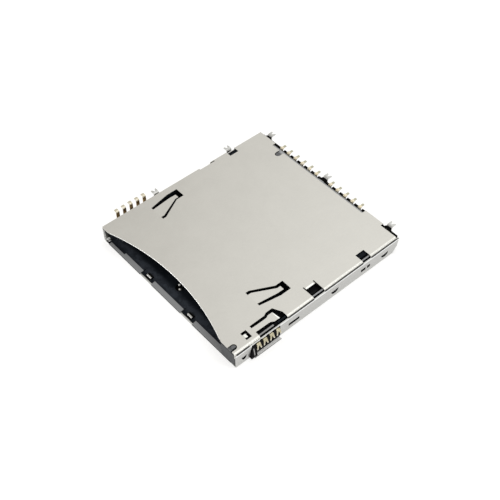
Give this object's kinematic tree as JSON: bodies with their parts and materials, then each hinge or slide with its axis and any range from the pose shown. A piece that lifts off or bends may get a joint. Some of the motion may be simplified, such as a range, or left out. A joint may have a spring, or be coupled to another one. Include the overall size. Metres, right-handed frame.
{
  "type": "sd card socket",
  "caption": "Push-in, push-out memory card socket: folded metal cover and tray round a moulded frame, solder leads at the back and left, contact block in the right wall.",
  "frame": {"origin": "centre of the body's footprint on its lower face, leads and solder forks left out", "axes": "+Y the way the card goes in, +X to the right seen from the card mouth, +Z towards the cover and the circuit board"},
  "size_m": [0.03, 0.0302, 0.0027],
  "materials": {
    "stainless_cover": "satin rolled stainless sheet, faintly warm",
    "stainless_shell": "satin rolled stainless sheet",
    "housing_resin": "dark grey moulded resin",
    "block_resin": "black moulded resin",
    "slider_resin": "black low-friction resin",
    "gold_plate": "thin gold plate on copper alloy",
    "spring_steel": "bright drawn spring wire"
  },
  "bodies": {
    "frame": {"top_cover": "stainless_cover", "bottom_shell": "stainless_shell", "housing": "housing_resin", "rear_contact_01": "gold_plate", "rear_contact_02": "gold_plate", "rear_contact_03": "gold_plate", "rear_contact_04": "gold_plate", "rear_contact_05": "gold_plate", "rear_contact_06": "gold_plate", "rear_contact_07": "gold_plate", "rear_contact_08": "gold_plate", "rear_contact_09": "gold_plate", "rear_contact_10": "gold_plate", "rear_contact_11": "gold_plate", "side_contact_1": "gold_plate", "side_contact_2": "gold_plate", "side_contact_3": "gold_plate", "side_contact_4": "gold_plate", "side_contact_5": "gold_plate", "switch_block": "block_resin", "switch_contact_1": "gold_plate", "switch_contact_2": "gold_plate", "switch_contact_3": "gold_plate", "switch_contact_4": "gold_plate", "eject_spring": "spring_steel"},
    "slider": {"eject_slider": "slider_resin"},
    "pin": {"cam_pin": "spring_steel"}
  },
  "joints": [
    {"name": "eject_slide", "type": "slide", "parent": "frame", "child": "slider", "axis": [0, 1, 0], "range_m": [0, 0.0036], "stiffness_N_per_m": 400, "springref_m": -0.002, "deforming": ["eject_spring"]},
    {"name": "cam_pin_swing", "type": "hinge", "parent": "frame", "child": "pin", "pos_m": [0.01215, -0.0123, 0.00222], "axis": [0, 0, 1], "range_deg": [0, 4.9]}
  ],
  "couplings": [
    {"joint": "cam_pin_swing", "follows": "eject_slide", "rad_per_m": 23.175}
  ]
}
